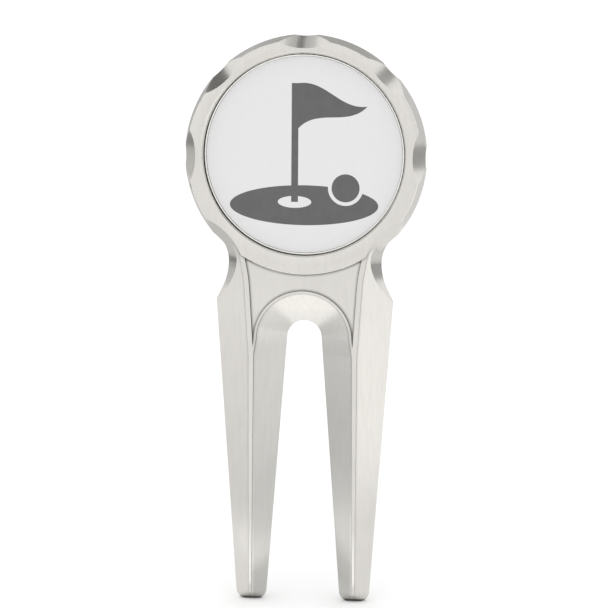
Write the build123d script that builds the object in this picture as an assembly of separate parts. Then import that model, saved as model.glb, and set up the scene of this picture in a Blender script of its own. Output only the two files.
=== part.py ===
from build123d import *
from math import hypot, pi, sin
import os

# A divot repair tool with a round ball marker that a magnet holds in its head.
# Everything is drawn lying on its back: x across the tool, y along it from the prong tips
# to the head, z out of the front face, with z = 0 on the die's parting plane. stand_up()
# then turns each piece upright: +Z along the tool, tips at Z = 0, front face towards -Y.

# --- Head ---------------------------------------------------------------------------
HEAD_Y = 56.78             # head centre above the tips
HEAD_R = 15.2              # radius on the parting plane
HALF_THICK = 2.8           # parting plane to the crown of the ring, and to the back face
PARTING_LAND = 0.2         # half height of the narrow flat along the parting plane
RING_FRONT_R = 14.65       # outer radius of the ring's face, where the side wall's draft ends
RING_CROWN_R = 13.8        # radius of the highest circle of the crowned ring face
RING_EDGE_DROP = 0.12      # how far the crown falls at its outer edge
RING_LIP_DROP = 0.07       # how far the crown falls at the marker's seat
RING_CORNER = 0.25         # rounding between the ring's face and the side wall

# --- Marker seat, magnet and its glue ----------------------------------------------------
SEAT_Y = 57.08             # the seat sits a little high in the head, where the ring is thinner
SEAT_R = 12.6
SEAT_FLOOR = 0.2
LIP_ROUND = 0.5            # rounding of the seat's mouth
MAGNET_R = 4.0
MAGNET_T = 1.5
GLUE_T = 0.1

# --- Finger scallops round the head --------------------------------------------------------
SCALLOP_ANGLES = [0, 45, 90, 135, 180, 225, 315]
SCALLOP_R = 10.0           # radius of the leaning scoop
SCALLOP_FACE_R = 13.55     # deepest point of the scoop on the ring's face
SCALLOP_WALL_R = 15.02     # deepest point of the scoop on the side wall
SCALLOP_WALL_Z = 0.5       # height at which the scoop runs out on the side wall
SCALLOP_LENGTH = 14.0

# --- Blade: a web below the head, and two prongs --------------------------------------------
EDGE_X_AT_TIP = 8.42       # outer edge, half width at y = 0
EDGE_SLOPE = 0.0708        # how the outer edge spreads towards the head
SLOT_X_AT_TIP = 4.76       # slot, half width at y = 0
SLOT_SLOPE = 0.0754        # how the slot narrows towards the head
SLOT_TOP = 36.08           # top of the slot's arch on the parting plane
ARCH_Y = 33.85             # centre of both arches
ARCH_R = 5.87              # inner edge of the bead round the slot
ARCH_BEAD_W = 0.3
WEB_Z = 2.5                # height of the beads, and of the ridges at the prongs' top
PANEL_Z = 2.22             # height of the sunk panel between the beads
PANEL_CORNER_Y = 32.9      # lower corners of the panel
PRONG_TOP = 31.7           # where the two beads of a side have merged into one ridge
BEAD_W = 0.6
BEAD_STEP = 0.2            # how far a bead stands proud of the bevel beside it
BEAD_FOOT = 0.05           # how much further out the bead's side has come at its foot
RIDGE_X = 6.52             # middle of the ridge at the prong's top
BEAD_SLOPE = 0.064         # how the outer bead spreads up the web
FLARE_Y = 40.3             # where the outer bead begins to flare towards the ring
FLARE_R = 20.0
WEB_STEP = 1.77            # distance between the web's cross-sections
WEB_STATIONS = [PRONG_TOP + i * WEB_STEP for i in range(10)]
BLADE_ROOT_R = 14.0        # the blade runs into the ring as far as this radius

# --- Prong tips ---------------------------------------------------------------------------------
TIP_RIDGE_X = 6.59         # middle of the ridge at the tip
TIP_RIDGE_W = 0.3
TIP_RIDGE_Y = 1.05
TIP_RIDGE_Z = 1.75
TIP_CORNER = 1.2
TIP_RIDGE_CORNER = 0.12

# --- Neck ---------------------------------------------------------------------------------------
NECK_X = 9.65              # half width at the narrowest place
NECK_Y = 43.45
NECK_UPPER_R = 4.4
NECK_UPPER_TURN = 62.0     # degrees that the upper arc turns
NECK_LOWER_R = 7.5
SHOULDER_SLANT = 27.0      # degrees between the shoulder and the tool's axis
SHOULDER_RUN = 5.0         # how far the slant is cut on past the blade's edge
NECK_LEAN = 0.62           # inward lean of the neck's wall for each millimetre of height

# --- Ball marker ----------------------------------------------------------------------------------
COIN_R = 12.5
COIN_BACK = 0.25
COIN_FRONT = 1.95
COIN_RIM_W = 0.2
COIN_ROUND = 0.06
COIN_WELL = 0.35           # depth of the well that takes the plate
FILM_T = 0.1
FILM_R = 12.0
PLATE_R = 12.25
PLATE_FRONT = 1.9
INFILL_T = 0.1

# --- Marker artwork: a pin flag on a green, with a ball ---------------------------------------------
POLE_X = -1.6
POLE_W = 0.85
POLE_TOP = 8.9
POLE_FOOT = -5.9
FLAG_FLY = 8.6             # length of the flag
FLAG_DROP = 5.6            # height of the flag at the pole
FLAG_WAVE = 0.45           # height of the wave along the flag's edges
GREEN_Y = -6.3
GREEN_RX = 9.3
GREEN_RY = 2.5
CUP_RX = 2.1
CUP_RY = 0.75
BALL_X = 5.2
BALL_Y = -4.1
BALL_R = 1.75
BALL_GAP = 0.45

CLEAR = 1.0                # how far a cutter runs on past the face that it cuts
BIG = 20.0                 # larger than anything that a cutter has to clear


def edge_x(y):
    """Half width of the blade's outer edge."""
    return EDGE_X_AT_TIP + EDGE_SLOPE * y


def slot_x(y):
    """Half width of the slot between the prongs."""
    return SLOT_X_AT_TIP - SLOT_SLOPE * y


def bead_x(y):
    """Middle of an outer bead: nearly straight up the web, then flaring out to the ring."""
    flare = max(0.0, y - FLARE_Y)
    return RIDGE_X + BEAD_SLOPE * (y - PRONG_TOP) + flare**2 / (2 * FLARE_R)


def front_and_back(shape):
    return shape + mirror(shape, about=Plane.XY)


def left_and_right(shape):
    return shape + mirror(shape, about=Plane.YZ)


def disc(radius, low, high):
    """A disc on the seat's axis, between two heights."""
    return Pos(0, SEAT_Y, (low + high) / 2) * Cylinder(radius, high - low)


# --- Tool body ------------------------------------------------------------------------------------


def turned(profile, centre_y):
    """A half profile, drawn as radius and height, turned about an axis through the head."""
    return Pos(0, centre_y, 0) * Rot(90, 0, 0) * revolve(profile, Axis.Y)


def ring_blank():
    """The head before its seat and scallops: a drafted disc, crowned in front."""
    crown_out = (RING_FRONT_R, HALF_THICK - RING_EDGE_DROP)
    crown_in = (SEAT_R, HALF_THICK - RING_LIP_DROP)
    crest = (RING_CROWN_R, HALF_THICK)
    crown = TangentArc(crest, crown_out, tangent=(1, 0)) + TangentArc(crest, crown_in, tangent=(-1, 0))
    outline = Polyline(
        crown_in,
        (0, crown_in[1]),
        (0, -HALF_THICK),
        (RING_FRONT_R, -HALF_THICK),
        (HEAD_R, -PARTING_LAND),
        (HEAD_R, PARTING_LAND),
        crown_out,
    )
    profile = make_face(outline + crown)
    corners = [v for v in profile.vertices() if abs(v.X - RING_FRONT_R) < 0.001]
    return turned(fillet(corners, RING_CORNER), HEAD_Y)


def seat():
    """The cutter for the marker's seat: a flat-bottomed bore with a rounded mouth."""
    mouth_r = SEAT_R + LIP_ROUND
    lip_z = HALF_THICK - LIP_ROUND
    top = HALF_THICK + CLEAR
    lip = RadiusArc((SEAT_R, lip_z), (mouth_r, HALF_THICK), LIP_ROUND)
    bore = Polyline(
        (mouth_r, HALF_THICK),
        (mouth_r, top),
        (0, top),
        (0, SEAT_FLOOR),
        (SEAT_R, SEAT_FLOOR),
        (SEAT_R, lip_z),
    )
    return turned(make_face(lip + bore), SEAT_Y)


def scallop():
    """One scallop's cutter, at angle 0: a leaning scoop for each face and a straight one between."""
    run_r = SCALLOP_WALL_R - SCALLOP_FACE_R
    run_z = SCALLOP_WALL_Z - HALF_THICK
    run = hypot(run_r, run_z)
    axis_r = SCALLOP_FACE_R - SCALLOP_R * run_z / run
    axis_z = HALF_THICK + SCALLOP_R * run_r / run
    lean = Plane(origin=(axis_r, 0, axis_z), z_dir=(run_r, 0, run_z))
    leaning = lean * Cylinder(SCALLOP_R, SCALLOP_LENGTH)
    straight = Pos(SCALLOP_WALL_R + SCALLOP_R, 0, 0) * Cylinder(SCALLOP_R, SCALLOP_LENGTH)
    return front_and_back(leaning) + straight


def head():
    ring = ring_blank() - seat()
    for angle in SCALLOP_ANGLES:
        ring -= Pos(0, HEAD_Y, 0) * Rot(0, 0, angle) * scallop()
    return ring


def arch_outline(leg_x, leg_y, arch_x, arch_top):
    """An upside-down U from the left leg's foot, over the arch, to the right leg's foot."""
    arch = ThreePointArc((-arch_x, ARCH_Y), (0, arch_top), (arch_x, ARCH_Y))
    return Line((-leg_x, leg_y), (-arch_x, ARCH_Y)) + arch + Line((arch_x, ARCH_Y), (leg_x, leg_y))


def slot_face(leg_x, arch_x, arch_top):
    """The slot above the prongs' top at one height."""
    foot = Line((leg_x, PRONG_TOP), (-leg_x, PRONG_TOP))
    return make_face(arch_outline(leg_x, PRONG_TOP, arch_x, arch_top) + foot)


def bevelled(parting, foot, top):
    """A solid with straight sides up to the parting land, then bevels, then the bead's steep side."""
    sections = [Pos(0, 0, PARTING_LAND) * parting, foot, top]
    return loft(sections, ruled=True) + extrude(parting, PARTING_LAND)


def web_section(y):
    """The front half of the web's cross-section: thin edges, bevels, beads and a flat face."""
    edge = edge_x(y)
    flat = bead_x(y) + BEAD_W / 2
    foot = flat + BEAD_FOOT
    right = [(edge, y, 0), (edge, y, PARTING_LAND), (foot, y, WEB_Z - BEAD_STEP), (flat, y, WEB_Z)]
    left = [(-x, y, z) for x, y, z in reversed(right)]
    return make_face(Polyline(*right, *left, close=True))


def web():
    """The front half of the plate between head and prongs, bevelled outside and round the arch."""
    plate = loft([web_section(y) for y in WEB_STATIONS])
    parting = slot_face(slot_x(PRONG_TOP), slot_x(ARCH_Y), SLOT_TOP)
    leg_x = RIDGE_X - BEAD_W / 2
    foot_r = ARCH_R - BEAD_FOOT
    foot = slot_face(leg_x - BEAD_FOOT, foot_r, ARCH_Y + foot_r)
    top = slot_face(leg_x, ARCH_R, ARCH_Y + ARCH_R)
    return plate - bevelled(parting, Pos(0, 0, WEB_Z - BEAD_STEP) * foot, Pos(0, 0, WEB_Z) * top)


def panel():
    """The sunk panel's cutter, between the two outer beads and the bead round the arch."""
    stations = [PANEL_CORNER_Y] + WEB_STATIONS[1:]
    side = Spline([(bead_x(y) - BEAD_W / 2, y) for y in stations])
    corner = side @ 0
    end = side @ 1
    arch_x = ARCH_R + ARCH_BEAD_W
    arch = arch_outline(corner.X, PANEL_CORNER_Y, arch_x, ARCH_Y + arch_x)
    top = Line((end.X, end.Y), (-end.X, end.Y))
    outline = make_face(side + top + mirror(side, about=Plane.YZ) + arch)
    return Pos(0, 0, PANEL_Z) * extrude(outline, BIG)


def neck_notch():
    """The right side's cutter: a concave wall, leaning inward towards the front and back faces."""
    upper = CenterArc((NECK_X + NECK_UPPER_R, NECK_Y), NECK_UPPER_R, 180, -NECK_UPPER_TURN)
    lower = CenterArc((NECK_X + NECK_LOWER_R, NECK_Y), NECK_LOWER_R, 180, SHOULDER_SLANT)
    slant_start = lower @ 1
    slant_end = slant_start + lower % 1 * SHOULDER_RUN
    outside = Polyline(slant_end, (BIG, slant_end.Y), (BIG, (upper @ 1).Y), upper @ 1)
    face = make_face(upper + lower + Line(slant_start, slant_end) + outside)
    return front_and_back(extrude(face, amount=HALF_THICK + CLEAR, dir=(-NECK_LEAN, 0, 1)))


def prong_face(outer_top, outer_tip, inner_tip, inner_top, corner):
    """A prong's outline at one height, with both corners of its tip rounded."""
    face = make_face(Polyline(outer_top, outer_tip, inner_tip, inner_top, close=True))
    return fillet(face.vertices().sort_by(Axis.Y)[:2], corner)


def ridge_face(widening):
    """The ridge's outline on its own falling plane, measured down from the prong's top."""
    length = hypot(WEB_Z - TIP_RIDGE_Z, PRONG_TOP - TIP_RIDGE_Y)
    top_reach = BEAD_W / 2 + widening
    tip_reach = TIP_RIDGE_W / 2 + widening
    return prong_face(
        (RIDGE_X + top_reach, 0),
        (TIP_RIDGE_X + tip_reach, -length - widening),
        (TIP_RIDGE_X - tip_reach, -length - widening),
        (RIDGE_X - top_reach, 0),
        TIP_RIDGE_CORNER + widening,
    )


def prong():
    """The right prong: a ridge front and back, falling to thin edges and a rounded tip."""
    outline = prong_face(
        (edge_x(PRONG_TOP), PRONG_TOP),
        (edge_x(0), 0),
        (slot_x(0), 0),
        (slot_x(PRONG_TOP), PRONG_TOP),
        TIP_CORNER,
    )
    fall = (0, TIP_RIDGE_Z - WEB_Z, PRONG_TOP - TIP_RIDGE_Y)
    top = Plane(origin=(0, PRONG_TOP, WEB_Z), x_dir=(1, 0, 0), z_dir=fall)
    foot = Plane(origin=(0, PRONG_TOP, WEB_Z - BEAD_STEP), x_dir=(1, 0, 0), z_dir=fall)
    return bevelled(outline, foot * ridge_face(BEAD_FOOT), top * ridge_face(0))


def blade():
    plate = web() - panel()
    half = plate + left_and_right(prong())
    return front_and_back(half) - left_and_right(neck_notch()) - disc(BLADE_ROOT_R, -BIG, BIG)


def tool_body():
    """The casting: head and blade in one piece, with a pocket for the magnet under the seat."""
    pocket = disc(MAGNET_R + GLUE_T, SEAT_FLOOR - MAGNET_T - GLUE_T, SEAT_FLOOR)
    return head() + blade() - pocket


# --- Magnet ------------------------------------------------------------------------------------------


def seat_magnet():
    return disc(MAGNET_R, SEAT_FLOOR - MAGNET_T, SEAT_FLOOR)


def magnet_glue():
    """The glue that fills the pocket under and round the magnet."""
    return disc(MAGNET_R + GLUE_T, SEAT_FLOOR - MAGNET_T - GLUE_T, SEAT_FLOOR) - seat_magnet()


# --- Ball marker ---------------------------------------------------------------------------------------


def marker_coin():
    """The steel blank, with rounded edges and a well for the plate."""
    blank = disc(COIN_R, COIN_BACK, COIN_FRONT)
    well = disc(COIN_R - COIN_RIM_W, COIN_FRONT - COIN_WELL, COIN_FRONT + CLEAR)
    coin = blank - well
    rims = coin.edges().filter_by(GeomType.CIRCLE).filter_by(lambda e: e.radius > COIN_R - 0.01)
    return fillet(rims, COIN_ROUND)


def marker_film():
    """The round of adhesive film that holds the plate in the coin's well."""
    floor = COIN_FRONT - COIN_WELL
    return disc(FILM_R, floor, floor + FILM_T)


def flag_edge(root, tip):
    """One long edge of the flag, from the pole to its tip, with a wave in it."""
    points = []
    for part in (0, 1 / 3, 2 / 3, 1):
        x = root[0] + part * (tip[0] - root[0])
        y = root[1] + part * (tip[1] - root[1]) + FLAG_WAVE * sin(2 * pi * part)
        points.append((x, y))
    return Spline(*points)


def pole_and_flag():
    right = POLE_X + POLE_W
    upper = (right, POLE_TOP)
    pole = Polyline((POLE_X, POLE_FOOT), (POLE_X, POLE_TOP), upper, (right, POLE_FOOT), close=True)
    lower = (right, POLE_TOP - FLAG_DROP)
    tip = (right + FLAG_FLY, POLE_TOP - FLAG_DROP / 2)
    flag = make_face(flag_edge(upper, tip) + flag_edge(lower, tip) + Line(upper, lower))
    return make_face(pole) + flag


def green_and_ball():
    ball_spot = Pos(BALL_X, BALL_Y)
    green = Pos(0, GREEN_Y) * Ellipse(GREEN_RX, GREEN_RY)
    cup = Pos(POLE_X + POLE_W / 2, POLE_FOOT) * Ellipse(CUP_RX, CUP_RY)
    return green - cup - ball_spot * Circle(BALL_R + BALL_GAP) + ball_spot * Circle(BALL_R)


def artwork(low, high):
    """The marker's picture as solids between two heights."""
    picture = pole_and_flag() + green_and_ball()
    return Pos(0, SEAT_Y, low) * extrude(picture, high - low)


def marker_plate():
    """The pale face plate, with the picture etched into it."""
    back = COIN_FRONT - COIN_WELL + FILM_T
    return disc(PLATE_R, back, PLATE_FRONT) - artwork(PLATE_FRONT - INFILL_T, PLATE_FRONT + CLEAR)


def marker_infill():
    """The dark enamel that fills the etched picture, flush with the plate."""
    return artwork(PLATE_FRONT - INFILL_T, PLATE_FRONT)


# --- Output --------------------------------------------------------------------------------------------


def stand_up(shape):
    return Rot(90, 0, 0) * shape


NODES = {
    "tool_body": tool_body,
    "seat_magnet": seat_magnet,
    "magnet_glue": magnet_glue,
    "marker_coin": marker_coin,
    "marker_film": marker_film,
    "marker_plate": marker_plate,
    "marker_infill": marker_infill,
}

os.makedirs("parts", exist_ok=True)
for name, make in NODES.items():
    export_step(stand_up(make()), f"parts/{name}.step")
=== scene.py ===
import bpy
from math import cos, radians, sin, tan
from mathutils import Matrix, Vector


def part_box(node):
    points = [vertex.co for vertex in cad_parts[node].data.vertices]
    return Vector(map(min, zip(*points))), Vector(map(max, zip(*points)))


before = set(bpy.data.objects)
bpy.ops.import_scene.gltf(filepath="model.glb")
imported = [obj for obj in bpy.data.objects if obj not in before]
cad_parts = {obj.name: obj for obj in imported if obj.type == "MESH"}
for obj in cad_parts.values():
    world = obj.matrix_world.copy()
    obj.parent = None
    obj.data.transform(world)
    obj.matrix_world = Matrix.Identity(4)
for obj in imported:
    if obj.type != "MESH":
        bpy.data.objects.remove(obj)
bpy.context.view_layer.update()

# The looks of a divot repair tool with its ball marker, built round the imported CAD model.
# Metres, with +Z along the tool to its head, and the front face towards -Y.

MM = 0.001

# --- Camera -------------------------------------------------------------------------------------
CAMERA_DISTANCE = 350 * MM
CAMERA_TO_RIGHT = radians(5.896)      # angle off the object's front, towards its right
CAMERA_RISE = radians(8.0)
CAMERA_ROLL = radians(0.4005)
CAMERA_LENS = 164.46                  # on the usual 36 mm sensor
CAMERA_NEAR = 10 * MM
CAMERA_FAR = 20.0
AIM = Vector((-0.0919, 0, 38.077)) * MM

# --- Studio -------------------------------------------------------------------------------------
FLOOR_RADIUS = 3.0
FLOOR_SIDES = 90
DAYLIGHT = 1.15
CARD_FAR = 0.45
CARD_NEAR = 0.2                       # for a low card, which further out would be under the floor
FLOOR_CARD_HEIGHT = 1 * MM

# --- Places on the casting ----------------------------------------------------------------------
COIN_LOW, COIN_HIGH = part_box("marker_coin")
COIN_R = (COIN_HIGH.x - COIN_LOW.x) / 2
SEAT_CENTRE = (COIN_LOW + COIN_HIGH) / 2
SEAT_MOUTH_R = COIN_R + 0.7 * MM      # past the gap round the coin and the rounded lip
SEAT_FADE = 0.1 * MM
SLOT_RIDGE_X = 6.1 * MM               # the slot's inner bevels lie inside this
SLOT_RIDGE_FADE = 0.2 * MM
SLOT_FADE_LOW = 32.85 * MM            # just below where the slot's arch begins
SLOT_FADE_HIGH = 37.85 * MM           # part of the way up the arch

# --- Satin nickel -------------------------------------------------------------------------------
NICKEL_LIGHT = (0.675, 0.657, 0.622, 1)
NICKEL_DARK = (0.635, 0.617, 0.584, 1)
# painted shade: the colour that closed-in creases darken towards
NICKEL_CREASE_SHADE = (0.13, 0.127, 0.12, 1)
NICKEL_SEAT_CREASE_SHADE = (0.50, 0.488, 0.465, 1)  # lighter painted crease shade inside the marker's seat
NICKEL_ROUGHNESS = (0.18, 0.24)
# painted shade on the bevels inside the slot, between the prongs
SLOT_PAINTED_SHADE = (0.77, 0.78, 0.785, 1)
CREASE_REACH = 0.4 * MM
CREASE_TO_OPEN = (0.5, 0.97)          # openness of a full crease, and of open metal, for the painted crease shade
GRAIN_SCALE = 2600
GRAIN_STRETCH = (1, 1, 0.12)          # long marks up and down the tool
GRAIN_STRENGTH = 0.22
GRAIN_DEPTH = 0.004 * MM
CLOUD_SCALE = 160
CASTING_EDGE = 0.06 * MM

# --- Every material -----------------------------------------------------------------------------
NOISE_DETAIL = 3
NOISE_MIDDLE = (0.35, 0.65)           # where most of a noise's values lie
NOISE_SPREAD = (0.3, 0.7)
TWO_NOISES_SPREAD = (0.75, 1.25)
ROUGHNESS_SPREAD = 0.06
SHARP_EDGE = 0.04 * MM
OPENNESS_SAMPLES = 8
EDGE_SAMPLES = 6


# --- Building a material ------------------------------------------------------------------------


class Look:
    """A material being made, with a short call for each kind of node that it uses."""

    def __init__(self, name):
        self.material = bpy.data.materials.new(name)
        self.material.use_nodes = True
        self.nodes = self.material.node_tree.nodes
        self.shader = self.nodes["Principled BSDF"]

    def feed(self, socket, value):
        """Gives a socket another node's output, or a number, vector or colour of its own."""
        if isinstance(value, bpy.types.NodeSocket):
            self.material.node_tree.links.new(value, socket)
        else:
            socket.default_value = value

    def shade(self, name, value):
        self.feed(self.shader.inputs[name], value)

    def node(self, kind, output, inputs, **settings):
        """Adds a node, feeds its inputs, and returns the named output."""
        node = self.nodes.new("ShaderNode" + kind)
        for name, value in settings.items():
            setattr(node, name, value)
        for name, value in inputs.items():
            self.feed(node.inputs[name], value)
        return node.outputs[output]

    def place(self):
        return self.node("TexCoord", "Object", {})

    def part(self, axis, vector):
        return self.node("SeparateXYZ", axis, {"Vector": vector})

    def moved(self, vector, offset):
        return self.node("Mapping", "Vector", {"Vector": vector, "Location": offset})

    def scaled(self, vector, scale):
        return self.node("Mapping", "Vector", {"Vector": vector, "Scale": scale})

    def length(self, vector):
        return self.node("VectorMath", "Value", {0: vector}, operation="LENGTH")

    def noise(self, vector, scale):
        return self.node("TexNoise", "Fac", {"Vector": vector, "Scale": scale, "Detail": NOISE_DETAIL})

    def maths(self, operation, first, second=0):
        return self.node("Math", "Value", {0: first, 1: second}, operation=operation)

    def remap(self, value, old, new):
        """Turns the range old into the range new, and holds the value at its ends."""
        ends = {"From Min": old[0], "From Max": old[1], "To Min": new[0], "To Max": new[1]}
        return self.node("MapRange", "Result", {"Value": value, **ends})

    def mix(self, factor, first, second, blend="MIX"):
        inputs = {"Factor": factor, "A": first, "B": second}
        return self.node("Mix", "Result", inputs, data_type="RGBA", blend_type=blend)

    def openness(self, reach):
        return self.node("AmbientOcclusion", "AO", {"Distance": reach}, samples=OPENNESS_SAMPLES)

    def rounded_edges(self, radius):
        return self.node("Bevel", "Normal", {"Radius": radius}, samples=EDGE_SAMPLES)

    def bumped(self, height, normal, strength, depth):
        inputs = {"Height": height, "Normal": normal, "Strength": strength, "Distance": depth}
        return self.node("Bump", "Normal", inputs)


# --- Materials ----------------------------------------------------------------------------------


def slot_mask(look, place):
    """1 on the bevels inside the slot, where painted shade darkens them, fading out up the arch."""
    off_centre = look.maths("ABSOLUTE", look.part("X", place))
    inside = look.remap(off_centre, (SLOT_RIDGE_X, SLOT_RIDGE_X + SLOT_RIDGE_FADE), (1, 0))
    below = look.remap(look.part("Z", place), (SLOT_FADE_LOW, SLOT_FADE_HIGH), (1, 0))
    return look.maths("MULTIPLY", inside, below)


def seat_mask(look, place):
    """1 inside the mouth of the marker's seat, where the painted crease shade is lighter."""
    from_centre = look.moved(place, -SEAT_CENTRE)
    radius = look.length(look.scaled(from_centre, (1, 0, 1)))
    return look.remap(radius, (SEAT_MOUTH_R, SEAT_MOUTH_R + SEAT_FADE), (1, 0))


def satin_nickel():
    """The plated casting: finely brushed, with painted shade in its creases and on the bevels inside
    the slot.
    """
    look = Look("satin_nickel")
    place = look.place()
    grain = look.noise(look.scaled(place, GRAIN_STRETCH), GRAIN_SCALE)
    cloud = look.noise(place, CLOUD_SCALE)
    uneven = look.remap(look.maths("ADD", grain, cloud), TWO_NOISES_SPREAD, (0, 1))
    tint = look.mix(uneven, NICKEL_DARK, NICKEL_LIGHT)
    # Painted shade darkens the inner bevels of the slot, between the prongs, less so up the arch.
    slot_shaded_metal = look.mix(slot_mask(look, place), tint, SLOT_PAINTED_SHADE, "MULTIPLY")
    # Painted crease shade: the base colour darkens where ambient occlusion finds the metal closed in,
    # less so in the marker's seat.
    crease_shade = look.mix(seat_mask(look, place), NICKEL_CREASE_SHADE, NICKEL_SEAT_CREASE_SHADE)
    openness = look.remap(look.openness(CREASE_REACH), CREASE_TO_OPEN, (0, 1))
    look.shade("Base Color", look.mix(openness, crease_shade, slot_shaded_metal))
    look.shade("Metallic", 1.0)
    look.shade("Roughness", look.remap(cloud, NOISE_SPREAD, NICKEL_ROUGHNESS))
    edges = look.rounded_edges(CASTING_EDGE)
    look.shade("Normal", look.bumped(grain, edges, GRAIN_STRENGTH, GRAIN_DEPTH))
    return look.material


def speckled(name, light, dark, metallic, roughness, scale, edge=SHARP_EDGE):
    """A material whose colour and roughness vary a little over the piece."""
    look = Look(name)
    speck = look.noise(look.place(), scale)
    look.shade("Base Color", look.mix(look.remap(speck, NOISE_MIDDLE, (0, 1)), (*dark, 1), (*light, 1)))
    look.shade("Metallic", metallic)
    look.shade("Roughness", look.remap(speck, NOISE_SPREAD, (roughness, roughness + ROUGHNESS_SPREAD)))
    look.shade("Normal", look.rounded_edges(edge))
    return look.material


def magnet_nickel():
    return speckled("magnet_nickel", (0.66, 0.66, 0.65), (0.60, 0.60, 0.59), 1.0, 0.16, scale=500)


def epoxy():
    return speckled("epoxy", (0.62, 0.57, 0.44), (0.55, 0.50, 0.38), 0.0, 0.25, scale=700)


def coin_nickel():
    return speckled("coin_nickel", (0.80, 0.79, 0.765), (0.76, 0.75, 0.725), 1.0, 0.18, scale=900)


def adhesive_film():
    return speckled("adhesive_film", (0.82, 0.82, 0.78), (0.76, 0.76, 0.72), 0.0, 0.6, scale=600)


def plate_pale():
    light, dark = (0.72, 0.72, 0.72), (0.71, 0.71, 0.71)
    return speckled("plate_pale", light, dark, 0.0, 0.45, scale=1500, edge=0.03 * MM)


def enamel_dark():
    light, dark = (0.105, 0.105, 0.105), (0.095, 0.095, 0.095)
    return speckled("enamel_dark", light, dark, 0.0, 0.4, scale=900, edge=0.02 * MM)


def floor_white():
    """Without gloss, so that the cards don't show in the floor."""
    material = speckled("floor_white", (0.95, 0.95, 0.95), (0.94, 0.94, 0.94), 0.0, 0.5, scale=40)
    material.node_tree.nodes["Principled BSDF"].inputs["Specular IOR Level"].default_value = 0.0
    return material


LOOKS = {
    "tool_body": satin_nickel,
    "seat_magnet": magnet_nickel,
    "magnet_glue": epoxy,
    "marker_coin": coin_nickel,
    "marker_film": adhesive_film,
    "marker_plate": plate_pale,
    "marker_infill": enamel_dark,
}


def dress(node, material):
    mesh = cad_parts[node].data
    mesh.materials.clear()
    mesh.materials.append(material)


# --- Studio -------------------------------------------------------------------------------------


def stage_sheet(name, corners, material):
    """A flat piece of the studio, which isn't part of the object."""
    mesh = bpy.data.meshes.new(name)
    mesh.from_pydata(corners, [], [range(len(corners))])
    mesh.materials.append(material)
    sheet = bpy.data.objects.new(name, mesh)
    bpy.context.scene.collection.objects.link(sheet)
    return sheet


def glow(name, strength):
    material = bpy.data.materials.new(name)
    material.use_nodes = True
    nodes = material.node_tree.nodes
    nodes.clear()
    emission = nodes.new("ShaderNodeEmission")
    emission.inputs["Strength"].default_value = strength
    output = nodes.new("ShaderNodeOutputMaterial")
    material.node_tree.links.new(emission.outputs["Emission"], output.inputs["Surface"])
    return material


def reflector(name, corners, strength):
    """A panel that only shows in the metal's reflections."""
    panel = stage_sheet(name, corners, glow(name, strength))
    panel.visible_camera = False
    panel.visible_diffuse = False
    panel.visible_shadow = False


def card(name, clock, lean, across, along, strength, distance=CARD_FAR):
    """A panel facing the head, with its place and size in degrees as seen from there.

    Clock goes round from the object's right, and lean goes back from straight in front.
    """
    turn, tilt = radians(clock), radians(lean)
    out = Vector((cos(turn) * sin(tilt), -cos(tilt), sin(turn) * sin(tilt)))
    side = Vector((-sin(turn), 0, cos(turn)))
    rise = out.cross(side)
    side *= distance * tan(radians(across / 2))
    rise *= distance * tan(radians(along / 2))
    centre = Vector((0, 0, SEAT_CENTRE.z)) + out * distance
    corners = [centre - side - rise, centre + side - rise, centre + side + rise, centre - side + rise]
    reflector(name, corners, strength)


def floor_card(name, x, y, strength):
    """A panel lying just over the floor, between two values of x and of y."""
    z = FLOOR_CARD_HEIGHT
    reflector(name, [(x[0], y[0], z), (x[1], y[0], z), (x[1], y[1], z), (x[0], y[1], z)], strength)


def floor():
    angles = [radians(360 * side / FLOOR_SIDES) for side in range(FLOOR_SIDES)]
    rim = [(FLOOR_RADIUS * cos(angle), FLOOR_RADIUS * sin(angle), 0) for angle in angles]
    stage_sheet("floor", rim, floor_white())


def scallop_cards():
    """Cards round the head and a little behind it, which show in the finger scallops and the neck."""
    card("card_top", clock=93, lean=114, across=6, along=26, strength=0.18)
    card("card_top_a", clock=101, lean=114, across=8, along=26, strength=0.7)
    card("card_top_b", clock=85, lean=114, across=8, along=26, strength=0.7)
    card("card_upper_left", clock=135, lean=114, across=20, along=26, strength=0.15)
    card("card_upper_right", clock=45, lean=114, across=12, along=26, strength=0.4)
    card("card_right", clock=-6, lean=112, across=17, along=26, strength=0.42, distance=CARD_NEAR)
    card("card_left", clock=180, lean=112, across=16, along=26, strength=0.6)
    card("card_neck_left", clock=195, lean=114, across=8, along=26, strength=0.22, distance=CARD_NEAR)


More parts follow.
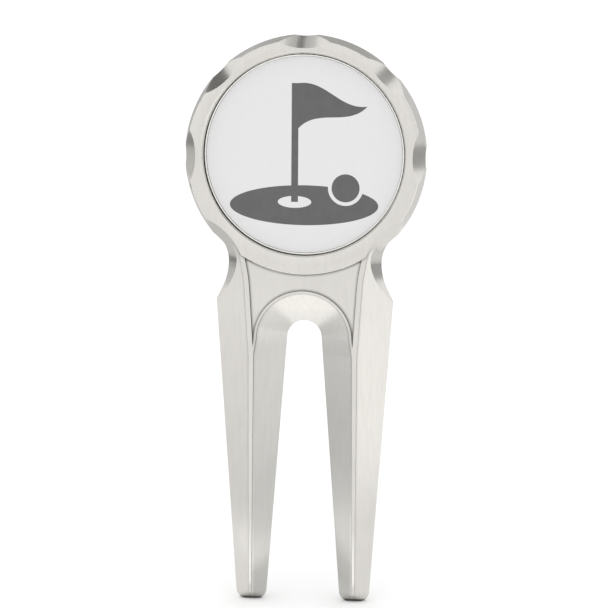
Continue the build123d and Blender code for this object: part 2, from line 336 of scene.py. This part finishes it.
def back_cards():
    """Wide cards further behind, which show in the side wall round the head."""
    card("card_back_right", clock=0, lean=148, across=50, along=38, strength=0.75)
    card("card_back_left", clock=180, lean=148, across=50, along=38, strength=0.55)
    card("card_back_top", clock=90, lean=146, across=40, along=36, strength=0.5)


def bevel_cards():
    """Cards in front and on the floor, which show in the bevels of the prongs."""
    card("card_front_right", clock=0, lean=30, across=40, along=22, strength=0.85)
    floor_card("card_floor_right", x=(0.05, 0.6), y=(0.03, 0.6), strength=0.85)
    floor_card("card_floor_left", x=(-0.6, -0.04), y=(0.03, 0.6), strength=0.7)
    floor_card("card_floor_front_right", x=(0.06, 0.4), y=(-0.16, -0.01), strength=1.3)
    floor_card("card_floor_front_left", x=(-0.15, -0.042), y=(-0.05, -0.002), strength=0.94)
    floor_card("card_floor_near", x=(-0.034, 0.018), y=(-0.028, -0.006), strength=1.4)
    floor_card("card_floor_front", x=(-0.05, 0.05), y=(-0.2, -0.07), strength=1.12)


def daylight():
    """Soft white light from all round."""
    world = bpy.data.worlds.new("studio")
    bpy.context.scene.world = world
    world.use_nodes = True
    background = world.node_tree.nodes["Background"]
    background.inputs["Color"].default_value = (1, 1, 1, 1)
    background.inputs["Strength"].default_value = DAYLIGHT


def camera():
    level = cos(CAMERA_RISE)
    out = Vector((sin(CAMERA_TO_RIGHT) * level, -cos(CAMERA_TO_RIGHT) * level, sin(CAMERA_RISE)))
    data = bpy.data.cameras.new("camera")
    data.lens = CAMERA_LENS
    data.clip_start = CAMERA_NEAR
    data.clip_end = CAMERA_FAR
    eye = bpy.data.objects.new("camera", data)
    bpy.context.scene.collection.objects.link(eye)
    turn = out.to_track_quat("Z", "Y").to_matrix() @ Matrix.Rotation(CAMERA_ROLL, 3, "Z")
    eye.matrix_world = Matrix.Translation(AIM + out * CAMERA_DISTANCE) @ turn.to_4x4()
    bpy.context.scene.camera = eye


# --- The scene ----------------------------------------------------------------------------------

for node, look in LOOKS.items():
    dress(node, look())
floor()
scallop_cards()
back_cards()
bevel_cards()
daylight()
camera()
bpy.context.scene.view_settings.view_transform = "Standard"
